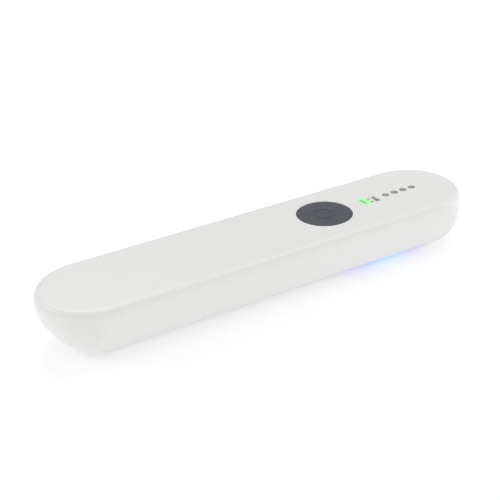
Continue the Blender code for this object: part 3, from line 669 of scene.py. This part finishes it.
class Finish(Nodes):
    """A material under construction: a Principled shader and the nodes that feed it."""

    def __init__(self, name):
        self.material = bpy.data.materials.new(name)
        self.material.use_nodes = True
        super().__init__(self.material.node_tree)
        self.shader = self.tree.nodes["Principled BSDF"]
        self.where = self.tree.nodes.new("ShaderNodeTexCoord").outputs["Object"]

    def set(self, **values):
        for socket, value in values.items():
            self.shader.inputs[socket.replace("_", " ")].default_value = value

    def feed(self, socket, output):
        self.tree.links.new(output, self.shader.inputs[socket])

    def base(self):
        """What feeds the base colour so far."""
        return self.shader.inputs["Base Color"].links[0].from_socket

    def axes(self):
        """The x, y and z of a place on the surface."""
        return self.node("SeparateXYZ", Vector=self.where).outputs

    def noise(self, scale, detail=3.0, roughness=0.55, stretch=None):
        """Noise with the given number of features a metre, stretched along an axis if asked."""
        where = self.node("Mapping", Vector=self.where, Scale=stretch).outputs[0] if stretch else self.where
        made = self.node("TexNoise", Vector=where, Scale=scale, Detail=detail, Roughness=roughness)
        return made.outputs["Fac"]

    def blend(self, factor, first, second):
        made = self.node("Mix", {"data_type": "RGBA"}, Factor=factor)
        for socket, value in zip([s for s in made.inputs if s.type == "RGBA"], (first, second)):
            self.put(socket, (*value, 1.0) if isinstance(value, tuple) else value)
        return [s for s in made.outputs if s.type == "RGBA"][0]

    def bump(self, height, strength, distance, normal=None):
        inputs = {"Height": height, "Strength": strength, "Distance": distance}
        if normal:
            inputs["Normal"] = normal
        return self.node("Bump", **inputs).outputs[0]

    def quiet(self):
        """Lets the surface glow without being sampled as a lamp, which would only add noise."""
        self.material.cycles.emission_sampling = "NONE"


def moulded(name, light, dark, rough, grain=7000.0, relief=0.012 * MM, strength=0.35, uneven=0.055):
    """Moulded or cast stuff: faint mottling in its colour, uneven gloss and a fine grained skin."""
    finish = Finish(name)
    mottle = finish.noise(90.0, 4.0)
    finish.feed("Base Color", finish.blend(finish.spread(mottle, 0.35, 0.65), dark, light))
    smear = finish.noise(260.0, 5.0, 0.65)
    finish.feed("Roughness", finish.spread(smear, 0.3, 0.7, rough - uneven, rough + uneven))
    finish.feed("Normal", finish.bump(finish.noise(grain, 2.0), strength, relief))
    return finish


# light of the lit bar and of the window; the plastic round them is painted with a glow of it
GREEN = (0.16, 0.82, 0.2)
VIOLET = (0.34, 0.25, 1.0)
CYAN = (0.22, 0.62, 1.0)


def distance_to_bar(finish, x):
    """Distance, in metres, from the lit bar's middle line, or from a line beside it."""
    axes = finish.axes()
    low, high = LIT_BAR
    half = (high - low) / 2 - 0.6 * MM
    across = finish.math("SUBTRACT", axes["X"], x)
    along = finish.math("ABSOLUTE", finish.math("SUBTRACT", axes["Y"], (low + high) / 2))
    past = finish.math("MAXIMUM", finish.math("SUBTRACT", along, half), 0.0)
    squares = [finish.math("MULTIPLY", side, side) for side in (across, past)]
    return finish.math("SQRT", finish.math("ADD", *squares))


def distance_to_row(finish, start, pitch):
    """Distance from the nearest of a row of points, evenly spaced along the wand's middle line."""
    axes = finish.axes()
    steps = finish.math("DIVIDE", finish.math("SUBTRACT", axes["X"], start), pitch)
    past = finish.math("SUBTRACT", steps, finish.math("ROUND", steps))
    offset = finish.node("CombineXYZ", X=finish.math("MULTIPLY", past, pitch), Y=axes["Y"]).outputs[0]
    return finish.node("VectorMath", {"operation": "LENGTH"}, i0=offset).outputs["Value"]


WHITE = (0.83, 0.828, 0.818)
WHITE_SHADE = (0.824, 0.822, 0.812)


def white_shell(name):
    """Satin white plastic with a very fine grain."""
    return moulded(
        name, WHITE, WHITE_SHADE, 0.33, grain=6500.0, relief=0.005 * MM, strength=0.25, uneven=0.02
    )


def cover_finish():
    """White plastic with the lit bar's green glow painted round it: a green tint and a faint glow."""
    finish = white_shell("cover_white_painted_glow")
    away = distance_to_bar(finish, BARS[0].x + 0.8 * MM)
    # painted glow: round the lit bar the plastic is tinted green and glows faintly
    glow = finish.spread(away, 0.7 * MM, 3.6 * MM, 1.0, 0.0, smooth=True)
    finish.feed("Base Color", finish.blend(glow, finish.base(), (0.5, 0.9, 0.48)))
    finish.feed("Emission Strength", finish.math("MULTIPLY", glow, 0.2))
    finish.set(Emission_Color=(*GREEN, 1.0))
    finish.quiet()
    return finish.material


def window_colour(finish, x):
    """Violet towards both ends of the window and cyan-blue by its middle LEDs."""
    tail = finish.spread(x, LENS_LOW.x + 12 * MM, LENS_MIDDLE.x + 6 * MM, smooth=True)
    head = finish.spread(x, LENS_MIDDLE.x + 12 * MM, LENS_HIGH.x - 4 * MM, 1.0, 0.0, smooth=True)
    return finish.blend(finish.math("MULTIPLY", tail, head), VIOLET, CYAN)


def tub_finish():
    """White plastic with the window's violet and cyan light painted on its lower edge: a tint and a faint
    glow.
    """
    finish = white_shell("tub_white_painted_glow")
    axes = finish.axes()
    low = finish.spread(axes["Z"], UNDER_Z + 2.0 * MM, UNDER_Z + 5.2 * MM, 1.0, 0.0, smooth=True)
    outside = finish.spread(axes["Z"], UNDER_Z + 0.3 * MM, UNDER_Z + 1.1 * MM, smooth=True)
    tail = finish.spread(axes["X"], LENS_LOW.x - MM, LENS_MIDDLE.x + 2 * MM, smooth=True)
    head = finish.spread(axes["X"], LENS_HIGH.x - 13 * MM, LENS_HIGH.x + 4 * MM, 1.0, 0.0, smooth=True)
    # painted glow: near the window the lower edge is tinted with the window's light and glows faintly
    glow = finish.math("MULTIPLY", low, finish.math("MULTIPLY", tail, head))
    colour = window_colour(finish, axes["X"])
    painted_glow_strength = finish.math("MULTIPLY", glow, outside)
    finish.feed("Base Color", finish.blend(finish.math("MULTIPLY", glow, 0.55), finish.base(), colour))
    finish.feed("Emission Color", colour)
    finish.feed("Emission Strength", finish.math("MULTIPLY", painted_glow_strength, 0.2))
    finish.quiet()
    return finish.material


def button_finish():
    finish = moulded(
        "button_grey", (0.08, 0.088, 0.102), (0.068, 0.075, 0.088), 0.55, grain=5200.0, relief=0.01 * MM
    )
    finish.set(Specular_IOR_Level=0.35)
    return finish.material


def symbol_finish():
    return moulded("symbol_paint", (0.075, 0.08, 0.09), (0.06, 0.064, 0.072), 0.6, grain=3000.0).material


def lit_bar_finish():
    """A green light guide, brightest along its middle."""
    finish = moulded("light_green", (0.2, 0.5, 0.2), (0.17, 0.46, 0.17), 0.3, grain=2500.0)
    away = distance_to_bar(finish, BARS[0].x)
    finish.feed("Emission Strength", finish.spread(away, 0.0, BAR_WIDTH * 0.6, 0.24, 0.34))
    finish.set(Emission_Color=(0.28, 0.86, 0.3, 1.0))
    finish.quiet()
    return finish.material


# painted glow: the middle marks are painted pale green, as the lit bar's light spreading over them
def painted_glow_bar_finish():
    return moulded("light_painted_green_glow", (0.36, 0.68, 0.33), (0.31, 0.62, 0.28), 0.35, grain=2500.0).material


def smoke_finish():
    """Smoked light guides, with painted light making the middle of each dot a little lighter."""
    finish = moulded("light_smoke", (0.31, 0.305, 0.275), (0.265, 0.26, 0.235), 0.38, grain=2500.0)
    centres = dot_centres()
    away = distance_to_row(finish, centres[0][0], centres[1][0] - centres[0][0])
    # painted light: each dot is lighter in its middle
    centre = finish.spread(away, 0.2 * MM, 1.3 * MM, 0.45, 0.0, smooth=True)
    finish.feed("Base Color", finish.blend(centre, finish.base(), (0.46, 0.45, 0.4)))
    return finish.material


def window_finish():
    """A frosted pane, lit from behind by six LEDs."""
    finish = moulded("window_frosted", (0.34, 0.38, 0.62), (0.29, 0.33, 0.57), 0.28, grain=4000.0)
    finish.feed("Emission Color", window_colour(finish, finish.axes()["X"]))
    first, second = (box_of(f"led_emitter_{number}")[0].x for number in (1, 2))
    away = distance_to_row(finish, first, second - first)
    finish.feed("Emission Strength", finish.spread(away, 0.0, 6.0 * MM, 1.1, 0.35, smooth=True))
    return finish.material


def metal(name, light, dark, rough, stretch):
    """Bare metal with fine drawn or brushed lines."""
    finish = Finish(name)
    lines = finish.noise(1500.0, 4.0, 0.6, stretch)
    finish.feed("Base Color", finish.blend(finish.spread(lines, 0.3, 0.7), dark, light))
    finish.feed("Roughness", finish.spread(lines, 0.3, 0.7, rough - 0.07, rough + 0.09))
    finish.feed("Normal", finish.bump(lines, 0.25, 0.01 * MM))
    finish.set(Metallic=1.0)
    return finish.material


def foil_finish():
    """Laminated pouch foil: soft dents and fine wrinkles."""
    finish = Finish("battery_foil")
    dents = finish.noise(120.0, 3.0, 0.5)
    wrinkles = finish.noise(900.0, 5.0, 0.6, (1.0, 2.5, 1.0))
    shine = finish.spread(wrinkles, 0.3, 0.7)
    finish.feed("Base Color", finish.blend(shine, (0.55, 0.56, 0.58), (0.7, 0.71, 0.73)))
    finish.feed("Roughness", finish.spread(dents, 0.3, 0.7, 0.24, 0.42))
    relief = finish.bump(wrinkles, 0.4, 0.05 * MM, finish.bump(dents, 0.5, 0.3 * MM))
    finish.feed("Normal", relief)
    finish.set(Metallic=0.85)
    return finish.material


def board_finish(name, mask, trace):
    """Solder mask over a net of copper tracks that show through a little lighter and stand proud."""
    finish = Finish(name)
    tracks = finish.node(
        "TexBrick", {"offset": 0.37, "squash": 1.7},
        Vector=finish.where, Scale=420.0, Mortar_Size=0.06, Mortar_Smooth=0.15,
    ).outputs["Fac"]
    grain = finish.noise(2600.0, 3.0)
    colour = finish.blend(finish.math("MULTIPLY", tracks, 0.8), mask, trace)
    shade_of_mask = tuple(0.6 * channel for channel in mask)
    finish.feed("Base Color", finish.blend(finish.spread(grain, 0.2, 0.9, 0.0, 0.25), colour, shade_of_mask))
    finish.feed("Roughness", finish.spread(grain, 0.3, 0.7, 0.3, 0.42))
    finish.feed("Normal", finish.bump(tracks, 0.5, 0.03 * MM))
    return finish.material


def foam_finish():
    """Dark foam with open cells, painted darker in their middles as shade."""
    finish = Finish("foam_dark")
    cells = finish.node(
        "TexVoronoi", {"feature": "DISTANCE_TO_EDGE"}, Vector=finish.where, Scale=1400.0
    ).outputs["Distance"]
    # painted shade: the cells are darker in their middles
    depth = finish.spread(cells, 0.0, 0.3)
    finish.feed("Base Color", finish.blend(depth, (0.09, 0.09, 0.092), (0.02, 0.02, 0.021)))
    finish.feed("Normal", finish.bump(cells, 0.8, 0.2 * MM))
    finish.set(Roughness=0.95)
    return finish.material


def led_finish():
    """A white package with a yellowish dome in its middle."""
    finish = moulded("led_package", (0.86, 0.86, 0.84), (0.8, 0.8, 0.78), 0.35, grain=3000.0)
    inside = finish.node("TexCoord").outputs["Generated"]
    away = finish.node("VectorMath", {"operation": "DISTANCE"}, i0=inside, i1=(0.5, 0.5, 0.2))
    dome = finish.spread(away.outputs["Value"], 0.28, 0.34, 1.0, 0.0, smooth=True)
    finish.feed("Base Color", finish.blend(dome, finish.base(), (0.85, 0.72, 0.25)))
    return finish.material


# ---------------------------------------------------------------- pieces and their finishes

def dress(obj, material):
    obj.data.materials.clear()
    obj.data.materials.append(material)
    return obj


# slot: name, light and dark colour, roughness, features of the grain a metre, and a relief of its own
MOULDED_SLOTS = {
    "component_black": ("package_black", (0.028, 0.028, 0.03), (0.018, 0.018, 0.019), 0.5, 3500.0, 0.02 * MM),
    "connector_white": ("nylon_natural", (0.72, 0.7, 0.63), (0.66, 0.64, 0.57), 0.42, 3000.0),
    "silicone": ("silicone_grey", (0.34, 0.34, 0.35), (0.28, 0.28, 0.29), 0.6, 2500.0),
    "rubber": ("rubber_dark", (0.06, 0.06, 0.062), (0.042, 0.042, 0.044), 0.78, 3500.0, 0.03 * MM),
    "wire_red": ("insulation_red", (0.5, 0.025, 0.02), (0.42, 0.02, 0.015), 0.42, 2500.0),
    "wire_black": ("insulation_black", (0.022, 0.022, 0.023), (0.015, 0.015, 0.016), 0.42, 2500.0),
}
# slot: name, light and dark colour, roughness, and how the lines are stretched
METAL_SLOTS = {
    "reflector": ("reflector_bright", (0.9, 0.9, 0.92), (0.82, 0.83, 0.85), 0.2, (1.0, 1.0, 3.0)),
    "aluminium": ("aluminium_extruded", (0.78, 0.79, 0.81), (0.66, 0.67, 0.69), 0.34, (0.1, 3.0, 3.0)),
    "steel": ("steel_plated", (0.66, 0.65, 0.62), (0.52, 0.52, 0.5), 0.3, (1.0, 1.0, 4.0)),
}


def slot_finishes():
    """One finish for each of the record's slots that CAD nodes still show in."""
    finishes = {slot: moulded(*looks).material for slot, looks in MOULDED_SLOTS.items()}
    finishes.update({slot: metal(*looks) for slot, looks in METAL_SLOTS.items()})
    finishes.update({
        "circuit_board": board_finish("board_green", (0.02, 0.16, 0.07), (0.06, 0.3, 0.14)),
        "led_board": board_finish("board_white", (0.72, 0.72, 0.7), (0.8, 0.8, 0.79)),
        "led_package": led_finish(),
        "battery_foil": foil_finish(),
        "foam": foam_finish(),
    })
    return finishes


def make_pieces():
    finishes = slot_finishes()
    for part in frame["record"]["subparts"]:
        if part["material_slot"] in finishes:
            dress(frame["nodes"][part["node"]], finishes[part["material_slot"]])
    smoke = smoke_finish()
    made = [
        (make_cover(), "top_cover", "body", "housing_white", cover_finish()),
        (make_tub(), "lower_tub", "body", "housing_white", tub_finish()),
        (make_button(), "button_cap", "button", "button_grey", button_finish()),
        (make_return_pad(), "button_return_pad", "body", "silicone", finishes["silicone"]),
        (make_bar_light("lit"), "bar_light_guide_lit", "body", "light_guide_lit", lit_bar_finish()),
        (make_bar_light("middle"), "bar_light_guide_middle", "body", "light_guide_dark", painted_glow_bar_finish()),
        (make_bar_light("dark"), "bar_light_guide_dark", "body", "light_guide_dark", smoke),
        (make_dot_lights(), "dot_light_guide", "body", "light_guide_dark", smoke),
        (make_lens(), "window_lens", "body", "window_lens", window_finish()),
        (make_foot("tail_foot", "foot_strip_tail"), "foot_strip_tail", "body", "rubber", finishes["rubber"]),
        (make_foot("head_foot", "foot_strip_head"), "foot_strip_head", "body", "rubber", finishes["rubber"]),
        (make_socket_shell(), "socket_shell", "body", "steel", finishes["steel"]),
    ]
    pieces = {}
    for piece, node, body, slot, material in made:
        pieces[node] = dress(piece, material)
        place(piece, body)
        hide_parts(node)
    squash_return_pad(pieces["button_return_pad"])
    symbol = dress(make_symbol(), symbol_finish())
    place(symbol, "button")
    gilt = metal("gilt", (0.95, 0.72, 0.32), (0.85, 0.6, 0.24), 0.22, (1.0, 6.0, 1.0))
    contacts = dress(make_contacts(), gilt)
    place(contacts)


# ---------------------------------------------------------------- floor, light and camera

FLOOR_GLOW = (0.31, 0.5)  # a light table: the floor glows, so nothing throws a hard shadow on it
FLOOR_FADE = (0.25, 0.6)  # how far from the wand the glow starts and ends to grow
FLOOR_TONE = 0.80
SKY = 0.75  # the light tent
ROOM = 1.05  # what the camera sees of it
DIM_WALL = (60.0, 0.0)  # azimuth and elevation of the far wall's foot, where the tent is dimmer
DIM_ANGLES = (45.0, 15.0)  # how far from there the dimming starts, and is full
DIM_BY = 0.7
# softboxes: azimuth, elevation and watts
SOFTBOXES = {
    "back_softbox": (78.0, 48.0, 0.85),
    "overhead_softbox": (0.0, 63.0, 0.50),
    "tail_softbox": (150.0, 34.0, 0.58),
    "head_softbox": (-20.0, 20.0, 0.68),
    "corner_softbox": (45.0, 14.0, 0.12),
}
SOFTBOX_SIZE = (0.30, 0.20)
SOFTBOX_DISTANCE = 0.8
# what the window spills onto the floor on each side: x, length, power in milliwatts and colour
SPILL = (
    (32.0 * MM, 14.0 * MM, 0.0003, (0.25, 0.1, 1.0)),
    (46.0 * MM, 14.0 * MM, 0.0006, (0.18, 0.12, 1.0)),
    (57.0 * MM, 12.0 * MM, 0.0007, (0.1, 0.2, 1.0)),
    (69.0 * MM, 12.0 * MM, 0.0005, (0.18, 0.12, 1.0)),
)
SPILL_OUT = 12.4 * MM  # how far from the wand's middle line
SPILL_THICKNESS = 0.5 * MM


def make_floor():
    bm = bmesh.new()
    bmesh.ops.create_grid(bm, x_segments=1, y_segments=1, size=3.0)
    floor = linked("studio_floor", mesh_from(bm, "studio_floor"))
    finish = Finish("floor_white")
    tones = [(FLOOR_TONE + change,) * 3 for change in (-0.01, 0.01)]
    finish.feed("Base Color", finish.blend(finish.noise(3.0, 2.0), *tones))
    away = finish.node("VectorMath", {"operation": "LENGTH"}, i0=finish.where).outputs["Value"]
    finish.feed("Emission Strength", finish.spread(away, *FLOOR_FADE, *FLOOR_GLOW, smooth=True))
    finish.set(Roughness=0.9, Specular_IOR_Level=0.1, Emission_Color=(1.0, 1.0, 1.0, 1.0))
    dress(floor, finish.material)


def direction(azimuth, elevation):
    azimuth = math.radians(azimuth)
    elevation = math.radians(elevation)
    level = math.cos(elevation)
    return Vector((math.cos(azimuth) * level, math.sin(azimuth) * level, math.sin(elevation)))


def add_area_light(name, size, power, location, back, colour=(1.0, 1.0, 1.0)):
    """A rectangular light that shines away from the direction behind it."""
    light = bpy.data.lights.new(name, "AREA")
    light.shape = "RECTANGLE"
    light.size, light.size_y = size
    light.energy = power
    light.color = colour
    obj = linked(name, light)
    obj.location = location
    obj.rotation_euler = back.to_track_quat("Z", "Y").to_euler()
    obj.visible_camera = False


def make_world():
    """A light tent. The camera sees it as a plain white room, whatever lights the wand."""
    world = bpy.data.worlds.new("light_tent")
    bpy.context.scene.world = world
    world.use_nodes = True
    tent = Nodes(world.node_tree)
    background = world.node_tree.nodes["Background"]
    looking = tent.node("TexCoord").outputs["Generated"]
    wall = direction(*DIM_WALL)
    towards = tent.node("VectorMath", {"operation": "DOT_PRODUCT"}, i0=looking, i1=wall).outputs["Value"]
    start, full = (math.cos(math.radians(angle)) for angle in DIM_ANGLES)
    strength = tent.math("SUBTRACT", SKY, tent.spread(towards, start, full, 0.0, DIM_BY, smooth=True))
    looked_at = tent.node("LightPath").outputs["Is Camera Ray"]
    seen = tent.node("Mix", Factor=looked_at, A=strength, B=ROOM).outputs["Result"]
    tent.put(background.inputs["Color"], (1.0, 1.0, 1.0, 1.0))
    tent.put(background.inputs["Strength"], seen)


def make_lights():
    for name, (azimuth, elevation, power) in SOFTBOXES.items():
        back = direction(azimuth, elevation)
        add_area_light(name, SOFTBOX_SIZE, power, back * SOFTBOX_DISTANCE, back)
    for side, side_name in ((-1, "near"), (1, "far")):
        for number, (x, length, milliwatts, colour) in enumerate(SPILL, start=1):
            location = (x, side * SPILL_OUT, UNDER_Z * 0.6)
            back = Vector((0.0, -side, 0.35))  # the light goes out and down
            size = (length, SPILL_THICKNESS)
            add_area_light(f"spill_{side_name}_{number}", size, milliwatts / 1000, location, back, colour)


CAMERA_AZIMUTH = -30.37
CAMERA_ELEVATION = 27.80
CAMERA_ROLL = -2.04
CAMERA_DISTANCE = 481.9 * MM
CAMERA_LENS = 76.76
AIM = Vector((10.4 * MM, 28.8 * MM, 0.0))


def make_camera():
    camera = bpy.data.cameras.new("camera")
    camera.lens = CAMERA_LENS
    camera.sensor_width = 36.0
    camera.clip_start = 0.01
    camera.clip_end = 20.0
    obj = linked("camera", camera)
    azimuth = math.radians(CAMERA_AZIMUTH)
    elevation = math.radians(CAMERA_ELEVATION)
    roll = math.radians(CAMERA_ROLL)
    back = Vector((
        math.sin(azimuth) * math.cos(elevation),
        -math.cos(azimuth) * math.cos(elevation),
        math.sin(elevation),
    ))
    level = Vector((math.cos(azimuth), math.sin(azimuth), 0.0))
    upright = back.cross(level)
    right = level * math.cos(roll) + upright * math.sin(roll)
    up = back.cross(right)
    turn = Matrix((right, up, back)).transposed().to_4x4()
    obj.matrix_world = Matrix.Translation(AIM + back * CAMERA_DISTANCE) @ turn
    bpy.context.scene.camera = obj


make_pieces()
make_floor()
make_world()
make_lights()
make_camera()
bpy.context.scene.view_settings.view_transform = "Standard"
